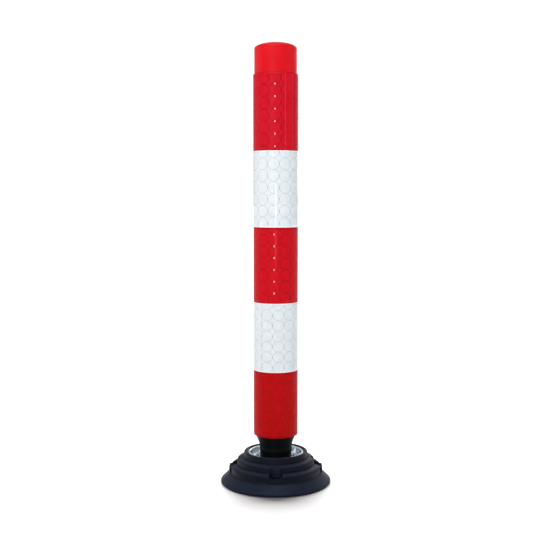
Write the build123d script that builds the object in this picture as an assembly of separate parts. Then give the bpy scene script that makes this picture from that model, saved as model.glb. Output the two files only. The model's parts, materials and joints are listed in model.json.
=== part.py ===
from build123d import *
import os

# Spring-back road delineator: a stepped rubber base, a zinc-plated seat cup, a spring
# and ball pivot under a rubber neck boot, and a red tube in a reflective sleeve.
# Millimetres, +Z up, origin at the centre of the underside of the base.

os.makedirs("parts", exist_ok=True)

# ---------------------------------------------------------------- overall sizes
BASE_D = 200.0            # outside diameter of the rubber base
BASE_H = 57.0             # height of the rubber base
POST_H = 790.0            # floor to the top of the cap
TUBE_D = 76.0             # outside diameter of the tube and cap

# steps of the base: (distance in from the rim, height, corner radius)
RIM = (0.0, 4.0, 1.5)
GROOVE_1 = (17.0, 20.5, 0.6)
SHOULDER_1 = (17.8, 30.5, 5.0)
CREST_1 = (27.5, 34.6, 1.0)
GROOVE_2 = (28.7, 33.0, 0.4)
SHOULDER_2 = (30.0, 43.0, 5.0)
CREST_2 = (39.8, 46.8, 1.0)
GROOVE_3 = (41.0, 45.3, 0.4)
TOP_BEAD_W = 6.4          # rounded bead round the lip of the cup
TOP_BEAD_R = 3.0

# anchor pockets
ANCHOR_COUNT = 4
ANCHOR_PCD = 150.0
ANCHOR_HOLE_D = 17.0
POCKET_W = 23.4
POCKET_FLOOR = 27.5       # height of the pocket floor
FRAME_W = 3.8             # raised frame round a pocket
FRAME_LIFT = 1.2          # frame above the pocket floor
FRAME_IN = 14.6           # front of the frame, in from the rim

# steel plate and centre bolt
PLATE_T = 8.0
PLATE_LIFT = 1.0          # plate above the ground
PLATE_WEB = 6.5           # rubber and gap between plate and anchor hole
PLATE_GAP = 2.0           # gap round the plate
BOLT_D = 12.0
BOLT_CLEARANCE = 0.5
BOLT_GRIP = 1.0           # bolt above the cup floor

# seat cup
CUP_WALL = 2.0
CUP_DEPTH = 16.0
CUP_DRAFT = 2.8           # foot of the cup inside its mouth
CUP_LIP_W = 2.1
LIP_DROP = 3.5            # lip of the cup below the top of the rubber
CUP_GAP = 0.5             # gap between cup wall and rubber
SWING_GAP = 10.5          # room round the sleeve for it to lean
STUD_D = 6.0
STUD_HEAD_D = 10.0
STUD_HEAD_T = 2.0
STUD_L = 10.0
STUD_ROOM = 3.8           # stud head to the walls beside it

# spring pivot
SPRING_ID = 36.0
SPRING_FIT = 0.05
WIRE_D = 4.6
SPRING_TURNS = 6.0
BALL_D = 24.0
RUNNING_FIT = 0.05        # between ball and seats
BALL_SHOW = 5.5           # ball centre to the face of each seat
FOOT_T = 2.5              # foot of the boot
FLANGE_T = 3.0
LOWER_LAND = 10.0         # spring seat on the lower plug
UPPER_LAND = 14.5         # spring seat on the upper plug
LAND_TAPER = 2.6          # nose of the upper plug inside its spring seat
NOSE_L = 4.5              # length of that nose, clear of the coils when leaning
UPPER_FLANGE_W = 4.0
SPIGOT_D = 24.0
SPIGOT_L = 19.0

# neck boot
BOOT_WALL = 2.6
BOOT_GAP = 2.8            # spring to boot
BOOT_BULGE = 1.2
BOOT_NECK = 1.0
BOOT_SPREAD = 2.0         # top of the boot outside the bore of the tube
FLANGE_GAP = 0.4

# tube, hub and cap
TUBE_WALL = 3.0
HUB_DISC_T = 3.5
HUB_WALL = 4.0
HUB_SKIRT_L = 32.0
HUB_BOSS_L = 14.0
HUB_BOSS_WALL = 7.0
HUB_RIBS = 8
HUB_RIB_T = 3.0
HUB_SPIGOT_D = 22.0
HUB_BOLT_D = 10.0
HUB_WASHER_D = 30.0
HUB_WASHER_T = 2.5
CAP_H = 61.0              # cap above the tube
CAP_WALL = 3.0
CAP_SPIGOT_L = 25.0
DOME_H = 10.6

# radial screws and rivets, flush under the sleeve
SIDE_FIXINGS = 4
FIXING_D = 4.2
FIXING_HEAD_D = 7.6
FIXING_HEAD_T = 1.3
FIXING_SINK = 0.1
HUB_FIXING_UP = 22.0      # above the foot of the tube
CAP_FIXING_DOWN = 13.0    # below the top of the tube

# reflective sleeve
CARRIER_WALL = 1.7        # plastic sleeve under the film
FILM_T = 0.3
SLEEVE_DROP = 2.0         # sleeve below the foot of the tube
SLEEVE_LAP = 5.0          # sleeve over the foot of the cap
BAND_HEIGHTS = (118.5, 123.5, 134.5, 134.5, 134.5)   # red, white, red, white, red

# ---------------------------------------------------------------- radii
base_r = BASE_D / 2
tube_r = TUBE_D / 2
bore_r = tube_r - TUBE_WALL
carrier_r = tube_r + CARRIER_WALL
sleeve_r = carrier_r + FILM_T

anchor_r = ANCHOR_PCD / 2
plate_r = anchor_r - ANCHOR_HOLE_D / 2 - PLATE_WEB
bolt_r = BOLT_D / 2
spigot_r = SPIGOT_D / 2
stud_r = STUD_D / 2
stud_head_r = STUD_HEAD_D / 2

ball_r = BALL_D / 2
land_r = SPRING_ID / 2 - SPRING_FIT
coil_r = SPRING_ID / 2 + WIRE_D / 2
boot_in_r = coil_r + WIRE_D / 2 + BOOT_GAP
boot_out_r = boot_in_r + BOOT_WALL
boot_top_r = bore_r + BOOT_SPREAD
hub_disc_r = boot_top_r - BOOT_WALL
hub_spigot_r = HUB_SPIGOT_D / 2

# the cup leaves room for the leaning sleeve and for the studs round the boot
stud_ring = 2 * STUD_ROOM + 2 * stud_head_r
cup_foot_r = max(
    sleeve_r + SWING_GAP - CUP_LIP_W - CUP_DRAFT, boot_out_r + stud_ring
)
cup_out_r = cup_foot_r + CUP_DRAFT
cup_lip_r = cup_out_r + CUP_LIP_W
stud_pitch_r = (boot_out_r + cup_foot_r) / 2 - STUD_ROOM + 0.3

# ---------------------------------------------------------------- heights
plate_top = PLATE_LIFT + PLATE_T
seat_z = BASE_H - CUP_DEPTH
lip_z = BASE_H - LIP_DROP
cup_floor = seat_z + CUP_WALL
boot_foot = cup_floor + FOOT_T
low_flange = boot_foot + FLANGE_T
low_face = low_flange + LOWER_LAND
pivot_z = low_face + BALL_SHOW
up_face = pivot_z + BALL_SHOW
up_flange = up_face + UPPER_LAND
hub_z = up_flange + FLANGE_T
tube_z = hub_z + HUB_DISC_T
sleeve_z = tube_z - SLEEVE_DROP
tube_top = POST_H - CAP_H
sleeve_top = tube_top + SLEEVE_LAP
bolt_top = cup_floor + BOLT_GRIP
boss_top = tube_z + HUB_BOSS_L
hub_fixing_z = tube_z + HUB_FIXING_UP
cap_fixing_z = tube_top - CAP_FIXING_DOWN


# ---------------------------------------------------------------- helpers
def turned(outline):
    """Solid of revolution about Z from (r, z) or (r, z, fillet radius) corners."""
    corners = [(p[0], p[1]) for p in outline]
    fillets = [p[2] if len(p) > 2 else 0.0 for p in outline]
    path = FilletPolyline(*corners, radius=fillets, close=True)
    return revolve(Plane.XZ * make_face(path), Axis.Z)


def disc(r, z0, z1):
    """Solid cylinder on the Z axis between two heights."""
    return Pos(0, 0, (z0 + z1) / 2) * Cylinder(r, z1 - z0)


def ring(r_out, r_in, z0, z1):
    """Round sleeve on the Z axis between two heights."""
    return disc(r_out, z0, z1) - disc(r_in, z0 - 1, z1 + 1)


def dome(r, h, z):
    """Half ellipsoid of revolution standing on height z."""
    arc = EllipticalCenterArc((0, 0), r, h, 0, arc_size=90)
    sides = Polyline((0, h), (0, 0), (r, 0))
    return Pos(0, 0, z) * revolve(Plane.XZ * make_face(arc + sides), Axis.Z)


def hexagon(across_flats, z0, z1):
    """Hexagonal prism on the Z axis."""
    flat = RegularPolygon(across_flats / 2, 6, major_radius=False)
    return extrude(Pos(0, 0, z0) * flat, z1 - z0)


def spoke(r, r0, r1, z):
    """Cylinder along +X from radius r0 to r1 at height z."""
    return Pos((r0 + r1) / 2, 0, z) * Rot(0, 90, 0) * Cylinder(r, r1 - r0)


def around(solid, count, start=0.0):
    """The same solid repeated round the Z axis."""
    return [Rot(0, 0, start + i * 360 / count) * solid for i in range(count)]


def drilled(solid, cuts):
    """The solid with each cut taken away."""
    for cut in cuts:
        solid = solid - cut
    return solid


def save(shapes, name):
    """Write one node, one or many solids, to its STEP file."""
    group = shapes if isinstance(shapes, list) else [shapes]
    solids = [s for shape in group for s in shape.solids()]
    node = solids[0] if len(solids) == 1 else Compound(children=solids)
    export_step(node, f"parts/{name}.step")


# ---------------------------------------------------------------- rubber base
def step(corner):
    """Corner of the stepped outline as (r, z, fillet radius)."""
    return base_r - corner[0], corner[1], corner[2]


def pocket_plan(radius, reach):
    """U-shaped plan round an anchor position, running outwards by reach."""
    open_side = Pos(anchor_r + reach / 2, 0) * Rectangle(reach, 2 * radius)
    return Pos(anchor_r, 0) * Circle(radius) + open_side


base_outline = [
    (base_r, 0, 1.0),
    step(RIM),
    step(GROOVE_1),
    step(SHOULDER_1),
    step(CREST_1),
    step(GROOVE_2),
    step(SHOULDER_2),
    step(CREST_2),
    step(GROOVE_3),
    (cup_lip_r + CUP_GAP + TOP_BEAD_W, BASE_H, TOP_BEAD_R),
    (cup_lip_r + CUP_GAP, BASE_H, 0.9 * TOP_BEAD_R),
    (cup_lip_r + CUP_GAP, lip_z),
    (cup_out_r + CUP_GAP, lip_z),
    (cup_foot_r + CUP_GAP, seat_z, 6.0),
    (spigot_r, seat_z),
    (spigot_r, seat_z - SPIGOT_L),
    (bolt_r + BOLT_CLEARANCE, seat_z - SPIGOT_L),
    (bolt_r + BOLT_CLEARANCE, plate_top),
    (plate_r + PLATE_GAP, plate_top, 0.75 * PLATE_GAP),
    (plate_r + PLATE_GAP, 0),
]

frame_z = plate_top + 1.0
frame_h = POCKET_FLOOR + FRAME_LIFT - frame_z
frame_plan = pocket_plan(POCKET_W / 2 + FRAME_W, base_r) & Circle(base_r - FRAME_IN)
frame_block = Pos(0, 0, frame_z) * extrude(frame_plan, frame_h)
pocket = Pos(0, 0, POCKET_FLOOR) * extrude(pocket_plan(POCKET_W / 2, base_r), BASE_H)
anchor_hole = Pos(anchor_r, 0, 0) * disc(ANCHOR_HOLE_D / 2, -1, BASE_H)
stud_hole = Pos(stud_pitch_r, 0, 0) * disc(stud_r, seat_z - STUD_L, cup_floor + 1)
stud_holes = around(stud_hole, 3, 30)

rubber_base = turned(base_outline)
for block in around(frame_block, ANCHOR_COUNT, -90):
    rubber_base = rubber_base + block
rubber_base = drilled(rubber_base, around(pocket, ANCHOR_COUNT, -90))
rubber_base = drilled(rubber_base, around(anchor_hole, ANCHOR_COUNT, -90))
rubber_base = drilled(rubber_base, stud_holes)
save(rubber_base, "rubber_base")

# ---------------------------------------------------------------- plate and centre bolt
cone_top = PLATE_LIFT + bolt_r
ground_plate = turned([
    (BOLT_D, PLATE_LIFT),
    (plate_r, PLATE_LIFT, 1.0),
    (plate_r, plate_top, 1.0),
    (bolt_r, plate_top),
    (bolt_r, cone_top),
])
save(ground_plate, "ground_plate")

centre_bolt = turned([
    (0, PLATE_LIFT),
    (BOLT_D, PLATE_LIFT),
    (bolt_r, cone_top),
    (bolt_r, bolt_top),
    (0, bolt_top),
])
socket = hexagon(BOLT_D * 2 / 3, PLATE_LIFT - 1, PLATE_LIFT + BOLT_D / 3)
save(centre_bolt - socket, "centre_bolt")

# ---------------------------------------------------------------- seat cup
lip_top = lip_z + CUP_WALL
seat_cup = turned([
    (spigot_r, seat_z),
    (cup_foot_r, seat_z, 6.0),
    (cup_out_r, lip_z, 0.4),
    (cup_lip_r, lip_z, 0.9),
    (cup_lip_r, lip_top, 0.9),
    (cup_out_r - CUP_WALL, lip_top, 1.8),
    (cup_foot_r - CUP_WALL, cup_floor, 4.5),
    (spigot_r, cup_floor),
])
save(drilled(seat_cup, stud_holes), "seat_cup")

stud_head = disc(stud_head_r, cup_floor, cup_floor + STUD_HEAD_T)
stud_head = fillet(stud_head.edges().group_by(Axis.Z)[-1], 0.6 * STUD_HEAD_T)
stud_shank = disc(stud_r, seat_z - STUD_L, cup_floor)
save(around(Pos(stud_pitch_r, 0, 0) * (stud_head + stud_shank), 3, 30), "cup_studs")

# ---------------------------------------------------------------- spring plugs and ball
ball_seat = Pos(0, 0, pivot_z) * Sphere(ball_r + RUNNING_FIT)
save(Pos(0, 0, pivot_z) * Sphere(ball_r), "pivot_ball")

low_flange_r = boot_in_r - FLANGE_GAP
lower_plug = turned([
    (0, seat_z - SPIGOT_L),
    (spigot_r, seat_z - SPIGOT_L),
    (spigot_r, boot_foot),
    (low_flange_r, boot_foot),
    (low_flange_r, low_flange, 0.5),
    (land_r, low_flange),
    (land_r, low_face, 1.0),
    (0, low_face),
])
lower_plug = lower_plug - ball_seat - disc(bolt_r, 0, bolt_top)
save(lower_plug, "lower_spring_plug")

upper_plug = turned([
    (0, up_face),
    (land_r - LAND_TAPER, up_face, 1.0),
    (land_r - LAND_TAPER, up_face + NOSE_L),
    (land_r, up_face + NOSE_L + 0.4 * LAND_TAPER),
    (land_r, up_flange),
    (land_r + UPPER_FLANGE_W, up_flange, 0.5),
    (land_r + UPPER_FLANGE_W, hub_z),
    (hub_spigot_r, hub_z),
    (hub_spigot_r, boss_top),
    (0, boss_top),
])
hub_bolt_foot = hub_z - 0.5
upper_plug = upper_plug - ball_seat - disc(HUB_BOLT_D / 2, hub_bolt_foot, boss_top + 1)
save(upper_plug, "upper_spring_plug")

# ---------------------------------------------------------------- tension spring
coil_z0 = low_flange + WIRE_D / 2 + SPRING_FIT
coil_h = up_flange - WIRE_D / 2 - SPRING_FIT - coil_z0
coil_path = Pos(0, 0, coil_z0) * Helix(coil_h / SPRING_TURNS, coil_h, coil_r)
coil_start = Plane(origin=coil_path @ 0, z_dir=coil_path % 0)
spring = sweep(coil_start * Circle(WIRE_D / 2), path=coil_path, is_frenet=True)
save(spring, "tension_spring")

# ---------------------------------------------------------------- neck boot
bulge_z = pivot_z - 3.5
neck_z = pivot_z + 4.0
neck_boot = turned([
    (spigot_r, cup_floor),
    (boot_out_r, cup_floor),
    (boot_out_r + 0.2, bulge_z - 6.0, 3.0),
    (boot_out_r + BOOT_BULGE, bulge_z, 2.0),
    (boot_out_r + BOOT_NECK, neck_z, 2.0),
    (boot_top_r, sleeve_z - 0.5, 2.0),
    (boot_top_r, tube_z),
    (hub_disc_r, tube_z),
    (hub_disc_r, hub_z),
    (boot_in_r + BOOT_NECK, neck_z, 2.0),
    (boot_in_r + BOOT_BULGE, bulge_z, 2.0),
    (boot_in_r, bulge_z - 6.0, 3.0),
    (boot_in_r, boot_foot),
    (spigot_r, boot_foot),
])
save(neck_boot, "neck_boot")

# ---------------------------------------------------------------- hub in the foot of the tube
hub_in_r = bore_r - HUB_WALL
hub_boss_r = hub_spigot_r + HUB_BOSS_WALL
tube_hub = disc(hub_disc_r, hub_z, tube_z) + disc(bore_r, tube_z, tube_z + CAP_WALL)
tube_hub = tube_hub + ring(bore_r, hub_in_r, tube_z, tube_z + HUB_SKIRT_L)
tube_hub = tube_hub + disc(hub_boss_r, tube_z, boss_top)
rib_l = hub_in_r - hub_boss_r + 2.0
rib = Pos((hub_in_r + hub_boss_r) / 2, 0, tube_z + HUB_BOSS_L / 2)
rib = rib * Box(rib_l, HUB_RIB_T, HUB_BOSS_L)
for web in around(rib, HUB_RIBS):
    tube_hub = tube_hub + web
tube_hub = tube_hub - disc(hub_spigot_r, hub_z - 1, boss_top + 1)
hub_hole = spoke(FIXING_D / 2, hub_in_r - 5, tube_r, hub_fixing_z)
save(drilled(tube_hub, around(hub_hole, SIDE_FIXINGS, 45)), "tube_hub")

washer_top = boss_top + HUB_WASHER_T
washer_bore = HUB_BOLT_D / 2 + BOLT_CLEARANCE
save(ring(HUB_WASHER_D / 2, washer_bore, boss_top, washer_top), "hub_washer")
hub_bolt = disc(HUB_BOLT_D / 2, hub_bolt_foot, washer_top)
hub_bolt = hub_bolt + hexagon(1.7 * HUB_BOLT_D, washer_top, washer_top + 0.64 * HUB_BOLT_D)
save(hub_bolt, "hub_bolt")

# ---------------------------------------------------------------- tube, cap and side fixings
head_out = (tube_r**2 - (FIXING_HEAD_D / 2) ** 2) ** 0.5 - FIXING_SINK
head_in = head_out - FIXING_HEAD_T


def fixing(inner_end, z):
    """Radial shank and flat head in the tube wall at height z."""
    shank = spoke(FIXING_D / 2, inner_end, head_in, z)
    return shank + spoke(FIXING_HEAD_D / 2, head_in, head_out, z)


def fixing_hole(z):
    """Hole and counterbore for one fixing, through the tube wall."""
    shank = spoke(FIXING_D / 2, bore_r - 5, tube_r, z)
    return shank + spoke(FIXING_HEAD_D / 2, head_in, tube_r + 1, z)


post_tube = ring(tube_r, bore_r, tube_z, tube_top)
for level in (hub_fixing_z, cap_fixing_z):
    post_tube = drilled(post_tube, around(fixing_hole(level), SIDE_FIXINGS, 45))
save(post_tube, "post_tube")

cap_side_top = POST_H - DOME_H
cap_in_r = bore_r - CAP_WALL
top_cap = disc(tube_r, tube_top, cap_side_top) + dome(tube_r, DOME_H, cap_side_top)
top_cap = top_cap + disc(bore_r, tube_top - CAP_SPIGOT_L, tube_top)
top_cap = top_cap - disc(cap_in_r, tube_top - CAP_SPIGOT_L - 1, tube_top + CAP_WALL)
top_cap = top_cap - disc(bore_r, tube_top + CAP_WALL, cap_side_top)
top_cap = top_cap - dome(bore_r, DOME_H - CAP_WALL, cap_side_top)
cap_hole = spoke(FIXING_D / 2, cap_in_r - 5, tube_r, cap_fixing_z)
save(drilled(top_cap, around(cap_hole, SIDE_FIXINGS, 45)), "top_cap")

save(around(fixing(hub_in_r - 3.0, hub_fixing_z), SIDE_FIXINGS, 45), "hub_screws")
save(around(fixing(cap_in_r - 2.0, cap_fixing_z), SIDE_FIXINGS, 45), "cap_rivets")

# ---------------------------------------------------------------- reflective sleeve
save(ring(carrier_r, tube_r, sleeve_z, sleeve_top), "sleeve_carrier")

band_scale = (sleeve_top - sleeve_z) / sum(BAND_HEIGHTS)
band_z = sleeve_z
for number, height in enumerate(BAND_HEIGHTS, 1):
    colour = "red" if number % 2 else "white"
    band_top = band_z + height * band_scale
    save(ring(sleeve_r, carrier_r, band_z, band_top), f"band_{number}_{colour}")
    band_z = band_top
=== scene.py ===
import bmesh
import bpy
import json
from math import cos, pi, radians, sin, tau
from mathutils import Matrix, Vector


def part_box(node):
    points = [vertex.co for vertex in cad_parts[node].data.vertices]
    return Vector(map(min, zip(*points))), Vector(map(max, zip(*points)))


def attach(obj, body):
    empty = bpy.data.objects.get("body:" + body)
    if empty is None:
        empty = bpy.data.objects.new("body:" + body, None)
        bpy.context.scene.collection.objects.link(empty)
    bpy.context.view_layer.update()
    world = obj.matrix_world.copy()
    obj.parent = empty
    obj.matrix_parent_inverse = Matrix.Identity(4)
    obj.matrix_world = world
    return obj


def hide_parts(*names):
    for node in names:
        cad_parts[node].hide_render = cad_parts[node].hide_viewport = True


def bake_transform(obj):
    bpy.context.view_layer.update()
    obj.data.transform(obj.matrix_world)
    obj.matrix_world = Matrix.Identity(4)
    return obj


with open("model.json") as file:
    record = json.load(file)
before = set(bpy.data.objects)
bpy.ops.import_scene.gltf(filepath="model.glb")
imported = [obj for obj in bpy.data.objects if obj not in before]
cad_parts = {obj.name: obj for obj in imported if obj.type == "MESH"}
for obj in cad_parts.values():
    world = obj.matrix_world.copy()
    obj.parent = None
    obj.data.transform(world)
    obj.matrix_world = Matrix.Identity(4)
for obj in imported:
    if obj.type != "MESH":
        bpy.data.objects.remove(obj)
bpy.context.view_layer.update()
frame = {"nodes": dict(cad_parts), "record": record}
nodes = frame["nodes"]


# ------------------------------------------------------------------ measures from the frame
def top(node):
    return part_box(node)[1].z


def foot(node):
    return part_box(node)[0].z


def radius(node):
    lo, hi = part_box(node)
    return (hi.x - lo.x) / 2


FILM_R = radius("band_1_red")
CARRIER_R = radius("sleeve_carrier")
BASE_R = radius("rubber_base")
PIVOT_Z = (top("pivot_ball") + foot("pivot_ball")) / 2
BOOT_Z = foot("neck_boot")
BOOT_TOP = top("neck_boot")
GROOVES = [BASE_R - inset for inset in (0.0165, 0.0285, 0.0408)]   # foot of each bead of the base
BANDS = ["band_1_red", "band_2_white", "band_3_red", "band_4_white", "band_5_red"]


# ------------------------------------------------------------------ materials
class Nodes:
    """A material's node tree with short calls for the nodes used here."""

    def __init__(self, name):
        self.mat = bpy.data.materials.new(name)
        self.mat.use_nodes = True
        self.tree = self.mat.node_tree
        self.shader = self.tree.nodes["Principled BSDF"]
        self.where = self.tree.nodes.new("ShaderNodeTexCoord").outputs["Object"]

    def add(self, kind, **sockets):
        node = self.tree.nodes.new(kind)
        for key, value in sockets.items():
            self.put(node, key.replace("_", " "), value)
        return node

    def put(self, node, key, value):
        if isinstance(value, bpy.types.NodeSocket):
            self.tree.links.new(value, node.inputs[key])
        else:
            node.inputs[key].default_value = value

    def set(self, **sockets):
        for key, value in sockets.items():
            self.put(self.shader, key.replace("_", " "), value)

    def scaled(self, sx, sy, sz):
        mapping = self.add("ShaderNodeMapping", Vector=self.where)
        mapping.inputs["Scale"].default_value = (sx, sy, sz)
        return mapping.outputs["Vector"]

    def noise(self, scale, detail=3.0, rough=0.5, vector=None):
        node = self.add("ShaderNodeTexNoise", Vector=vector or self.where, Scale=scale)
        node.inputs["Detail"].default_value = detail
        node.inputs["Roughness"].default_value = rough
        return node.outputs["Fac"]

    def cells(self, scale, feature="F1", vector=None):
        node = self.add("ShaderNodeTexVoronoi", Vector=vector or self.where, Scale=scale)
        node.feature = feature
        return node.outputs["Distance"]

    def span(self, value, lo, hi, a=0.0, b=1.0):
        node = self.add("ShaderNodeMapRange", Value=value)
        for key, v in (("From Min", lo), ("From Max", hi), ("To Min", a), ("To Max", b)):
            node.inputs[key].default_value = v
        return node.outputs["Result"]

    def mix(self, fac, a, b):
        node = self.tree.nodes.new("ShaderNodeMix")
        node.data_type = "RGBA"
        for index, value in ((0, fac), (6, a), (7, b)):
            if isinstance(value, bpy.types.NodeSocket):
                self.tree.links.new(value, node.inputs[index])
            else:
                node.inputs[index].default_value = value
        return node.outputs[2]

    def math(self, operation, a, b=0.0):
        node = self.tree.nodes.new("ShaderNodeMath")
        node.operation = operation
        for index, value in ((0, a), (1, b)):
            if isinstance(value, bpy.types.NodeSocket):
                self.tree.links.new(value, node.inputs[index])
            else:
                node.inputs[index].default_value = value
        return node.outputs[0]

    def bump(self, height, strength, distance):
        node = self.add("ShaderNodeBump", Height=height, Strength=strength, Distance=distance)
        self.set(Normal=node.outputs["Normal"])


def rgb(r, g, b):
    """Colour from 0 to 255 display values to linear."""
    def line(c):
        c /= 255
        return c / 12.92 if c <= 0.04045 else ((c + 0.055) / 1.055) ** 2.4
    return (line(r), line(g), line(b), 1.0)


def plain(name, dark, light, rough, metallic=0.0, scale=60.0, grain=900.0, lift=0.00004,
          strength=0.3, gloss=0.5):
    """Two-tone surface with cloudy colour, uneven gloss and a fine grain."""
    n = Nodes(name)
    cloud = n.noise(scale, 5.0, 0.6)
    n.set(Base_Color=n.mix(n.span(cloud, 0.35, 0.65), dark, light))
    n.set(Roughness=n.span(n.noise(scale * 2.3, 4.0), 0.3, 0.7, rough - 0.06, rough + 0.06))
    n.set(Metallic=metallic)
    n.set(Specular_IOR_Level=gloss)
    n.bump(n.noise(grain, 3.0, 0.6), strength, lift)
    return n.mat


def film(name, dark, light, rough, coat_rough, gloss):
    """Prismatic film: fine lattice of cells under a clear glossy face, faintly clouded."""
    n = Nodes(name)
    lattice = n.span(n.cells(620.0, "DISTANCE_TO_EDGE"), 0.0, 0.14)
    cloud = n.span(n.noise(95.0, 5.0, 0.65), 0.36, 0.64)
    fleck = n.span(n.noise(700.0, 2.0, 0.7), 0.35, 0.65)
    tone = n.math("MULTIPLY", n.math("ADD", n.math("ADD", lattice, cloud), fleck), 0.3333)
    n.set(Base_Color=n.mix(tone, dark, light))
    n.set(Roughness=n.span(n.noise(240.0, 3.0), 0.3, 0.7, rough - 0.07, rough + 0.07))
    n.set(Specular_IOR_Level=0.03, Coat_Weight=gloss, Coat_Roughness=coat_rough)
    n.bump(n.math("ADD", lattice, n.noise(420.0, 3.0)), 0.22, 0.00006)
    return n.mat


def line_mat(name, dark, light, rough=0.35):
    """Pressed seal lines and cut edges of the film."""
    n = Nodes(name)
    n.set(Base_Color=n.mix(n.span(n.noise(350.0, 3.0, 0.7), 0.35, 0.65), dark, light))
    n.set(Roughness=n.span(n.noise(200.0, 2.0), 0.3, 0.7, rough - 0.08, rough + 0.08))
    n.set(Specular_IOR_Level=0.08, Coat_Weight=0.05, Coat_Roughness=0.08)
    n.bump(n.noise(900.0, 2.0), 0.2, 0.00003)
    return n.mat


def glint_stud_mat(name, dark, light):
    """Small glossy studs in the film, coloured pale pink as a painted highlight: the glint of the
    flash.
    """
    n = Nodes(name)
    n.set(Base_Color=n.mix(n.span(n.noise(350.0, 3.0, 0.7), 0.35, 0.65), dark, light))
    n.set(Roughness=n.span(n.noise(200.0, 2.0), 0.3, 0.7, 0.24, 0.32))
    n.set(Specular_IOR_Level=1.0, Coat_Weight=1.0, Coat_Roughness=0.25)
    return n.mat


# Painted shade: the base rubber is darkened near the foot of each bead, where the grooves are.
GROOVE_SHADE_CORE = 0.0008       # half width of the darkest painted shade in a groove
GROOVE_SHADE_EDGE = 0.0042       # where the painted shade of a groove fades out
GROOVE_SHADE_MOST = 0.82


def rubber():
    """Moulded base rubber: satin, faintly blue, dusty, with painted shade darkening the grooves, and
    flow marks.
    """
    n = Nodes("base_rubber")
    cloud = n.span(n.noise(22.0, 6.0, 0.62), 0.34, 0.68)
    dust = n.span(n.noise(160.0, 4.0, 0.7), 0.52, 0.78)
    body = n.mix(cloud, (0.0085, 0.0120, 0.0240, 1), (0.0145, 0.0200, 0.0370, 1))
    body = n.mix(n.math("MULTIPLY", dust, 0.22), body, (0.030, 0.037, 0.055, 1))
    split = n.add("ShaderNodeSeparateXYZ", Vector=n.where)
    x, y = split.outputs["X"], split.outputs["Y"]
    across = n.math("SQRT", n.math("ADD", n.math("MULTIPLY", x, x), n.math("MULTIPLY", y, y)))
    groove_shade = 0.0
    for groove in GROOVES:
        near = n.math("ABSOLUTE", n.math("SUBTRACT", across, groove))
        groove_shade = n.math("ADD", groove_shade, n.span(near, GROOVE_SHADE_CORE, GROOVE_SHADE_EDGE, 1.0, 0.0))
    groove_shade = n.math("MINIMUM", groove_shade, GROOVE_SHADE_MOST)
    # painted shade in the grooves
    n.set(Base_Color=n.mix(groove_shade, body, (0.0012, 0.0012, 0.0030, 1)))
    n.set(Roughness=n.span(n.noise(48.0, 5.0, 0.6), 0.3, 0.7, 0.46, 0.62))
    n.set(Specular_IOR_Level=0.12, Specular_Tint=(0.62, 0.74, 1.0, 1))
    pits = n.span(n.cells(1100.0), 0.0, 0.5)
    flow = n.noise(90.0, 3.0, 0.5, n.scaled(1, 1, 5))
    n.bump(n.math("ADD", n.math("MULTIPLY", pits, 0.35), flow), 0.28, 0.00012)
    return n.mat


def zinc():
    """Bright pressed plating: mirror-like with soft waviness and faint tool lines."""
    n = Nodes("zinc_plate")
    cloud = n.span(n.noise(70.0, 4.0, 0.6), 0.35, 0.65)
    n.set(Base_Color=n.mix(cloud, rgb(150, 156, 166), rgb(196, 202, 210)))
    n.set(Metallic=1.0)
    n.set(Roughness=n.span(n.noise(130.0, 4.0, 0.6), 0.3, 0.7, 0.07, 0.17))
    n.bump(n.noise(160.0, 3.0, 0.5, n.scaled(1, 1, 2.5)), 0.25, 0.0002)
    return n.mat


M = {
    "base_rubber": rubber(),
    "zinc_plate": zinc(),
    "boot_rubber": plain("boot_rubber", (0.0009, 0.0018, 0.0021, 1), (0.0020, 0.0034, 0.0040, 1),
                         0.42, scale=45.0, grain=700.0, lift=0.00005, gloss=0.08),
    "plate_steel": plain("plate_steel", rgb(22, 22, 24), rgb(40, 40, 43), 0.5, scale=40.0),
    "spring_steel": plain("spring_steel", rgb(120, 122, 126), rgb(165, 167, 172), 0.3, 1.0),
    "plug_iron": plain("plug_iron", rgb(150, 152, 156), rgb(190, 192, 196), 0.34, 1.0),
    "ball_nylon": plain("ball_nylon", rgb(214, 211, 198), rgb(232, 230, 220), 0.42),
    "black_plastic": plain("black_plastic", rgb(20, 20, 22), rgb(34, 34, 37), 0.45),
    "red_plastic": plain("red_plastic", rgb(202, 16, 28), rgb(219, 22, 33), 0.38, scale=28.0,
                         grain=520.0, lift=0.00003, strength=0.2, gloss=0.08),
    "carrier_plastic": plain("carrier_plastic", rgb(196, 30, 24), rgb(216, 50, 34), 0.5, gloss=0.03),
    # The three red films are one sheeting in three brightnesses as painted shade: lightest at the top
    # band, darker towards the bottom.
    "red_film": film("red_film", rgb(182, 10, 24), rgb(214, 24, 47), 0.42, 0.10, 0.03),
    "red_film_mid": film("red_film_mid", rgb(180, 6, 16), rgb(214, 14, 34), 0.42, 0.10, 0.04),
    "red_film_low": film("red_film_low", rgb(162, 4, 6), rgb(198, 10, 16), 0.42, 0.10, 0.02),
    "white_film": film("white_film", rgb(206, 214, 218), rgb(232, 240, 244), 0.42, 0.07, 0.35),
    "red_line": line_mat("red_line", rgb(132, 4, 12), rgb(156, 8, 18)),
    "white_line": line_mat("white_line", rgb(184, 190, 196), rgb(206, 212, 218)),
    "red_tick": line_mat("red_tick", rgb(120, 6, 14), rgb(146, 10, 20)),
    "white_tick": line_mat("white_tick", rgb(120, 126, 134), rgb(150, 156, 163)),
    "red_painted_glint": glint_stud_mat("red_painted_glint", rgb(236, 120, 132), rgb(248, 168, 176)),
    "red_edge": line_mat("red_edge", rgb(134, 8, 20), rgb(160, 14, 30)),
    "white_edge": line_mat("white_edge", rgb(250, 236, 238), rgb(255, 250, 250), 0.3),
    "red_seam": line_mat("red_seam", rgb(212, 36, 50), rgb(226, 58, 70)),
    "white_seam": line_mat("white_seam", rgb(196, 190, 200), rgb(212, 206, 214)),
}

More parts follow.
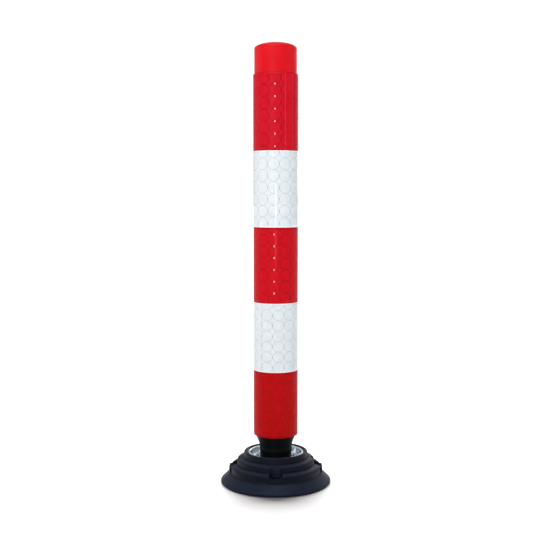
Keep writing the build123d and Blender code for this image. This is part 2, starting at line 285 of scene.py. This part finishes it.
slot_of = {s["node"]: s["material_slot"] for s in frame["record"]["subparts"]}
for name, obj in nodes.items():
    obj.data.materials.clear()
    obj.data.materials.append(M[slot_of[name]])


# ------------------------------------------------------------------ mesh helpers
def mesh_object(name, bm, mats, smooth=True):
    mesh = bpy.data.meshes.new(name)
    bm.normal_update()
    bm.to_mesh(mesh)
    bm.free()
    for m in mats:
        mesh.materials.append(m)
    if smooth:
        for p in mesh.polygons:
            p.use_smooth = True
    obj = bpy.data.objects.new(name, mesh)
    bpy.context.scene.collection.objects.link(obj)
    return obj


def at(angle, r, z):
    """Point at an angle round the post; 0 faces the front, positive to the right."""
    return (r * sin(angle), -r * cos(angle), z)


def lathe(bm, outline, segments, mat=0, closed=True):
    """Revolve an (r, z) outline round the post."""
    loops = []
    for i in range(segments):
        a = tau * i / segments
        loops.append([bm.verts.new(at(a, r, z)) for r, z in outline])
    count = len(outline)
    for i in range(segments):
        here, there = loops[i], loops[(i + 1) % segments]
        for j in range(count if closed else count - 1):
            k = (j + 1) % count
            f = bm.faces.new((here[j], there[j], there[k], here[k]))
            f.material_index = mat


def strip(bm, path, mat):
    """Raised line: path gives for each step the three points of its low arch."""
    rows = [[bm.verts.new(p) for p in step] for step in path]
    for a, b in zip(rows, rows[1:]):
        for j in range(2):
            f = bm.faces.new((a[j], b[j], b[j + 1], a[j + 1]))
            f.material_index = mat


# ------------------------------------------------------------------ reflective film bands
FILM_SEGMENTS = 144
SHELL_STEPS = 24
COLUMNS = 12              # rings round the post
RING_STEPS = 32
LINE_W = 0.00085          # width and height of a pressed line
LINE_H = 0.00016
LINE_SINK = 0.00001       # foot of a line inside the film
LINE_OVERLAP = 0.30       # share of a line's width that neighbouring rings share
EDGE_MARGIN = 0.0012      # plain film beside a cut edge
MARK_MARGIN = 0.002       # no tick or stud nearer to a cut edge than this
TICK_STEP = 0.0007
TICK_W = 0.75 * LINE_W
TICK_H = 1.6 * LINE_H
SEAM_LIFT = 0.00014
SEAM_EDGE = 0.0007        # width of the line along a seam
BEAD_W = 0.0016           # width of the rounded cut edge
STUD_CROWN = 0.00024
STUD_RINGS = ((0.0007, 0.0002), (0.0013, 0.0001), (0.0016, -0.00002))   # radius, lift


def ring_lines(bm, z0, z1, pitch, first, turn, mat):
    """Touching round seal lines in a square grid, cut off at the edges of the band."""
    ax = pi / COLUMNS * FILM_R - LINE_W * LINE_OVERLAP
    az = pitch / 2 - LINE_W * LINE_OVERLAP
    row = first
    while row - az < z1 - EDGE_MARGIN:
        for c in range(COLUMNS):
            centre = turn + tau * c / COLUMNS
            run = []
            for s in range(RING_STEPS + 1):
                t = tau * (s + 0.5) / RING_STEPS
                step = []
                for side, lift in ((-1, 0.0), (0, LINE_H), (1, 0.0)):
                    du = (ax + side * LINE_W / 2) * cos(t)
                    dz = (az + side * LINE_W / 2) * sin(t)
                    step.append(at(centre + du / FILM_R, FILM_R + lift - LINE_SINK, row + dz))
                if z0 + EDGE_MARGIN < step[1][2] < z1 - EDGE_MARGIN:
                    run.append(step)
                else:
                    if len(run) > 1:
                        strip(bm, run, mat)
                    run = []
            if len(run) > 1:
                strip(bm, run, mat)
        row += pitch


def seam(bm, a0, a1, z0, z1, mats):
    """Overlap of the film: a slightly raised strip with a thin line along its free edges."""
    w = SEAM_EDGE / FILM_R
    angles = [a0, a0 + w * 0.3, a0 + w]
    angles += [a0 + (a1 - a0) * i / 8 for i in range(1, 8)]
    angles += [a1 - w, a1 - w * 0.3, a1]
    rows = []
    for z in (z0, z1):
        row = []
        for k, a in enumerate(angles):
            r = FILM_R - 2 * LINE_SINK if k in (0, len(angles) - 1) else FILM_R + SEAM_LIFT
            row.append(bm.verts.new(at(a, r, z)))
        rows.append(row)
    for i in range(len(angles) - 1):
        f = bm.faces.new((rows[0][i], rows[0][i + 1], rows[1][i + 1], rows[1][i]))
        f.material_index = mats[1] if i < 2 or i > len(angles) - 4 else mats[0]


def ticks(bm, z0, z1, pitch, first, turn, mat):
    """Short raised ticks where two rings of a row touch."""
    row = first
    while row < z1 - MARK_MARGIN:
        if row > z0 + MARK_MARGIN:
            for c in range(COLUMNS):
                a = turn + tau * (c + 0.5) / COLUMNS
                w = TICK_W / FILM_R
                path = []
                for k in range(5):
                    z = row + (k - 2) * TICK_STEP
                    path.append([at(a - w, FILM_R, z), at(a, FILM_R + TICK_H, z),
                                 at(a + w, FILM_R, z)])
                strip(bm, path, mat)
        row += pitch


def edge_bead(bm, z, up, mat):
    """Rounded cut edge of a film band."""
    w = BEAD_W * up
    r = FILM_R
    outline = [(r - 0.0001, z + w), (r + 0.00010, z + w * 0.75), (r + 0.00014, z + w * 0.4),
               (r + 0.00004, z + w * 0.06), (r - 0.0002, z)]
    lathe(bm, outline, FILM_SEGMENTS, mat, closed=False)


def glint_studs(bm, z0, z1, pitch, first, turn, mat):
    """Low round studs down the front column, where one ring meets the next; they carry a painted
    highlight.
    """
    row = first + pitch / 2
    while row < z1 - MARK_MARGIN:
        if row > z0 + MARK_MARGIN:
            crown = bm.verts.new(at(turn, FILM_R + STUD_CROWN, row))
            last = None
            for r, lift in STUD_RINGS:
                loop = []
                for k in range(8):
                    t = tau * k / 8
                    loop.append(bm.verts.new(
                        at(turn + r * cos(t) / FILM_R, FILM_R + lift, row + r * sin(t))))
                for k in range(8):
                    m = (k + 1) % 8
                    inner = (last[m], last[k]) if last else (crown,)
                    bm.faces.new((loop[k], loop[m]) + inner).material_index = mat
                last = loop
        row += pitch


#        band, row pitch, first row above the foot, turn, seam angles (degrees)
FILMS = [
    ("band_1_red", 0.0187, -0.0010, 9.0, (150.0, 164.0)),
    ("band_2_white", 0.0187, 0.0094, 6.6, (-53.0, -39.0)),
    ("band_3_red", 0.0208, 0.0080, -4.0, (128.0, 142.0)),
    ("band_4_white", 0.0207, 0.0079, -5.8, (146.0, 160.0)),
    ("band_5_red", 0.0215, -0.0035, -2.0, (24.0, 48.0)),
]
for band, pitch, first, turn, (s0, s1) in FILMS:
    z0, z1 = foot(band), top(band)
    colour = "white" if "white" in band else "red"
    # Painted shade: the lower red bands take the darker copies of the red film.
    tone = {"band_1_red": "_low", "band_3_red": "_mid"}.get(band, "")
    mats = [M[f"{colour}_film{tone}"], M[f"{colour}_line"], M[f"{colour}_edge"], M[f"{colour}_seam"],
            M[f"{colour}_tick"], M["red_painted_glint"]]
    bm = bmesh.new()
    shell = [(FILM_R, z0 + (z1 - z0) * i / SHELL_STEPS) for i in range(SHELL_STEPS + 1)]
    shell += [(CARRIER_R - 0.0001, z1), (CARRIER_R - 0.0001, z0)]
    lathe(bm, shell, FILM_SEGMENTS)
    ring_lines(bm, z0, z1, pitch, z0 + first, radians(turn), 1)
    ticks(bm, z0, z1, pitch, z0 + first, radians(turn), 4)
    # Painted highlight: glint-coloured studs down the front column of the two upper red bands.
    if band in ("band_3_red", "band_5_red"):
        glint_studs(bm, z0, z1, pitch, z0 + first, radians(turn), 5)
    if band != BANDS[0]:
        edge_bead(bm, z0, 1, 2)
    if band != BANDS[-1]:
        edge_bead(bm, z1, -1, 2)
    seam(bm, radians(s0), radians(s1), z0 + EDGE_MARGIN, z1 - EDGE_MARGIN, (0, 3))
    bmesh.ops.recalc_face_normals(bm, faces=bm.faces)
    piece = mesh_object(f"film_{band}", bm, mats)
    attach(piece, "post")
    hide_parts(band)


# ------------------------------------------------------------------ neck boot in two halves
def smooth_line(points, per=8):
    """Rounded outline through (r, z) points."""
    out = []
    n = len(points)
    for i in range(n - 1):
        p0, p1, p2, p3 = (points[max(0, min(n - 1, i + k))] for k in (-1, 0, 1, 2))
        for s in range(per):
            t = s / per
            out.append(tuple(
                0.5 * (2 * p1[a] + (p2[a] - p0[a]) * t
                       + (2 * p0[a] - 5 * p1[a] + 4 * p2[a] - p3[a]) * t * t
                       + (3 * p1[a] - p0[a] - 3 * p2[a] + p3[a]) * t ** 3)
                for a in (0, 1)))
    out.append(points[-1])
    return out


BOOT_TOP_R = radius("neck_boot")
BOOT_WALL = 0.0024
BOOT_SEGMENTS = 128
NECK_R = 0.0289
SPLIT = 1e-6
outer = smooth_line([
    (0.0281, BOOT_Z), (0.0281, BOOT_Z + 0.006), (0.0286, BOOT_Z + 0.012),
    (0.0291, BOOT_Z + 0.017), (NECK_R, PIVOT_Z), (0.0293, PIVOT_Z + 0.004),
    (0.0306, PIVOT_Z + 0.009), (0.0328, PIVOT_Z + 0.0145), (0.0350, PIVOT_Z + 0.0195),
    (0.0366, BOOT_TOP - 0.004), (BOOT_TOP_R, BOOT_TOP - 0.0015), (BOOT_TOP_R, BOOT_TOP)])


def boot_half(name, b, keep):
    """Part of the boot's wall on one side of the pivot: above it when b is post, below it otherwise.
    """
    part = [p for p in outer if keep(p[1])]
    if b == "post":
        part = [(NECK_R, PIVOT_Z)] + [p for p in part if p[1] > PIVOT_Z + SPLIT]
    else:
        part = [p for p in part if p[1] < PIVOT_Z - SPLIT] + [(NECK_R, PIVOT_Z)]
    inner = [(r - BOOT_WALL, z) for r, z in reversed(part)]
    bm = bmesh.new()
    lathe(bm, part + inner, BOOT_SEGMENTS)
    bmesh.ops.recalc_face_normals(bm, faces=bm.faces)
    half = mesh_object(name, bm, [M["boot_rubber"]])
    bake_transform(half)
    return half


low_half = boot_half(
    "boot_lower", "pivot", lambda z: z <= PIVOT_Z)
high_half = boot_half(
    "boot_upper", "post", lambda z: z >= PIVOT_Z)
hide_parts("neck_boot")
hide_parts("neck_boot")


# ------------------------------------------------------------------ tension spring in two halves
SPRING_Z0, SPRING_Z1 = foot("tension_spring"), top("tension_spring")
SPRING_R = radius("tension_spring")
WIRE_R = 0.0023
TURNS = 6.0
COIL_STEPS = 90
WIRE_SIDES = 12


def spring_half(name, t0, t1):
    """Part of the coil from share t0 to t1 of its length."""
    bm = bmesh.new()
    z_lo, z_hi = SPRING_Z0 + WIRE_R, SPRING_Z1 - WIRE_R
    mid_r = SPRING_R - WIRE_R
    loops = []
    for i in range(COIL_STEPS + 1):
        t = t0 + (t1 - t0) * i / COIL_STEPS
        turn = tau * TURNS * t
        centre = Vector((mid_r * cos(turn), mid_r * sin(turn), z_lo + (z_hi - z_lo) * t))
        out = Vector((cos(turn), sin(turn), 0))
        loop = []
        for s in range(WIRE_SIDES):
            q = tau * s / WIRE_SIDES
            loop.append(bm.verts.new(centre + out * WIRE_R * cos(q) + Vector((0, 0, WIRE_R * sin(q)))))
        loops.append(loop)
    for u, v in zip(loops, loops[1:]):
        for s in range(WIRE_SIDES):
            k = (s + 1) % WIRE_SIDES
            bm.faces.new((u[s], v[s], v[k], u[k]))
    bm.faces.new(loops[0])
    bm.faces.new(loops[-1])
    bmesh.ops.recalc_face_normals(bm, faces=bm.faces)
    half = mesh_object(name, bm, [M["spring_steel"]])
    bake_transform(half)
    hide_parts("tension_spring")


spring_half("spring_lower", 0.0, 0.5)
spring_half("spring_upper", 0.5, 1.0)


# ------------------------------------------------------------------ floor, light, camera
FLOOR_SIZE = 60.0
FLOOR_DROP = 0.0002
SUN_HEIGHT = radians(25)
SUN_SPREAD = radians(26)
SUN_AWAY = 4
FLOOR_SUNS = ((180, 4.2), (150, 3.1), (210, 3.1), (90, 0.3), (270, 0.3))   # azimuth, strength
WORLD_LIGHT = 0.05        # strength of the world as a light, in reflections and to the camera
WORLD_REFLECTED = 0.75
WORLD_SEEN = 1.05
CAMERA_PLACE = (-0.0013, -1.694, 0.517)
CAMERA_DOWN = radians(4.68)


def lamp_object(name, kind, place, aim, receivers):
    """Lamp at a place, pointed at aim, that lights the receivers alone; gives its data."""
    data = bpy.data.lights.new(name, kind)
    lamp = bpy.data.objects.new(name, data)
    lamp.location = place
    lamp.rotation_euler = (Vector(aim) - Vector(place)).to_track_quat("-Z", "Y").to_euler()
    lamp.light_linking.receiver_collection = receivers
    bpy.context.scene.collection.objects.link(lamp)
    return data


def area(name, place, target, size, size_y, power, colour=(1, 1, 1)):
    """Soft box that lights the object and leaves the floor to the floor lights."""
    data = lamp_object(name, "AREA", place, target, not_floor)
    data.shape = "RECTANGLE"
    data.size, data.size_y = size, size_y
    data.energy = power
    data.color = colour


def floor_sun(azimuth, strength):
    """Broad light that whitens the floor and leaves the object's soft shadow on it."""
    e, a = SUN_HEIGHT, radians(azimuth)
    away = Vector((sin(a) * cos(e), -cos(a) * cos(e), sin(e))) * SUN_AWAY
    data = lamp_object(f"floor_light_{azimuth}", "SUN", away, (0, 0, 0), floor_only)
    data.angle = SUN_SPREAD
    data.energy = strength


bm = bmesh.new()
bmesh.ops.create_grid(bm, x_segments=1, y_segments=1, size=FLOOR_SIZE)
floor_nodes = Nodes("floor")
shade = floor_nodes.mix(floor_nodes.noise(3.0, 2.0), (0.92, 0.92, 0.92, 1), (0.94, 0.94, 0.94, 1))
floor_nodes.set(Base_Color=shade, Roughness=0.9, Specular_IOR_Level=0.1)
floor = mesh_object("floor", bm, [floor_nodes.mat], smooth=False)
floor.location = (0, 0, -FLOOR_DROP)

world = bpy.data.worlds.new("studio")
bpy.context.scene.world = world
world.use_nodes = True
wt = world.node_tree
back = wt.nodes["Background"]
path = wt.nodes.new("ShaderNodeLightPath")
level = None
for ray, strength in (("Is Glossy Ray", WORLD_REFLECTED), ("Is Camera Ray", WORLD_SEEN)):
    mixer = wt.nodes.new("ShaderNodeMix")
    mixer.data_type = "FLOAT"
    wt.links.new(path.outputs[ray], mixer.inputs[0])
    if level is None:
        mixer.inputs[2].default_value = WORLD_LIGHT
    else:
        wt.links.new(level, mixer.inputs[2])
    mixer.inputs[3].default_value = strength
    level = mixer.outputs[0]
wt.links.new(level, back.inputs["Strength"])
back.inputs["Color"].default_value = (1, 1, 1, 1)

floor_only = bpy.data.collections.new("floor_only")
floor_only.objects.link(floor)
not_floor = bpy.data.collections.new("not_floor")
not_floor.objects.link(floor)
not_floor.collection_objects[0].light_linking.link_state = "EXCLUDE"
for azimuth, strength in FLOOR_SUNS:
    floor_sun(azimuth, strength)
area("front_box", (-0.9, -2.2, 0.90), (0, 0, 0.72), 0.9, 0.8, 8.5, (1.0, 0.985, 0.97))
area("flash", (0.0, -1.9, 0.42), (0, 0, 0.42), 0.15, 0.27, 5, (1.0, 0.97, 0.99))
area("back_fill", (0.9, 2.2, 1.1), (0, 0, 0.5), 1.2, 1.2, 10)
area("left_fill", (-2.3, 0.5, 0.9), (0, 0, 0.45), 0.8, 1.2, 4)
area("right_fill", (2.3, -0.3, 0.9), (0, 0, 0.45), 0.8, 1.2, 3, (0.88, 0.93, 1.0))
area("overhead", (-0.2, -0.5, 2.3), (0, 0, 0), 1.0, 1.0, 24)

cam_data = bpy.data.cameras.new("camera")
cam_data.lens = 61.72
cam_data.sensor_width = 36.0
cam = bpy.data.objects.new("camera", cam_data)
cam.location = CAMERA_PLACE
cam.rotation_euler = (pi / 2 - CAMERA_DOWN, 0, 0)
cam_data.clip_start, cam_data.clip_end = 0.05, 200
bpy.context.scene.collection.objects.link(cam)
bpy.context.scene.camera = cam
bpy.context.scene.view_settings.view_transform = "Standard"
bpy.context.scene.view_settings.look = "None"
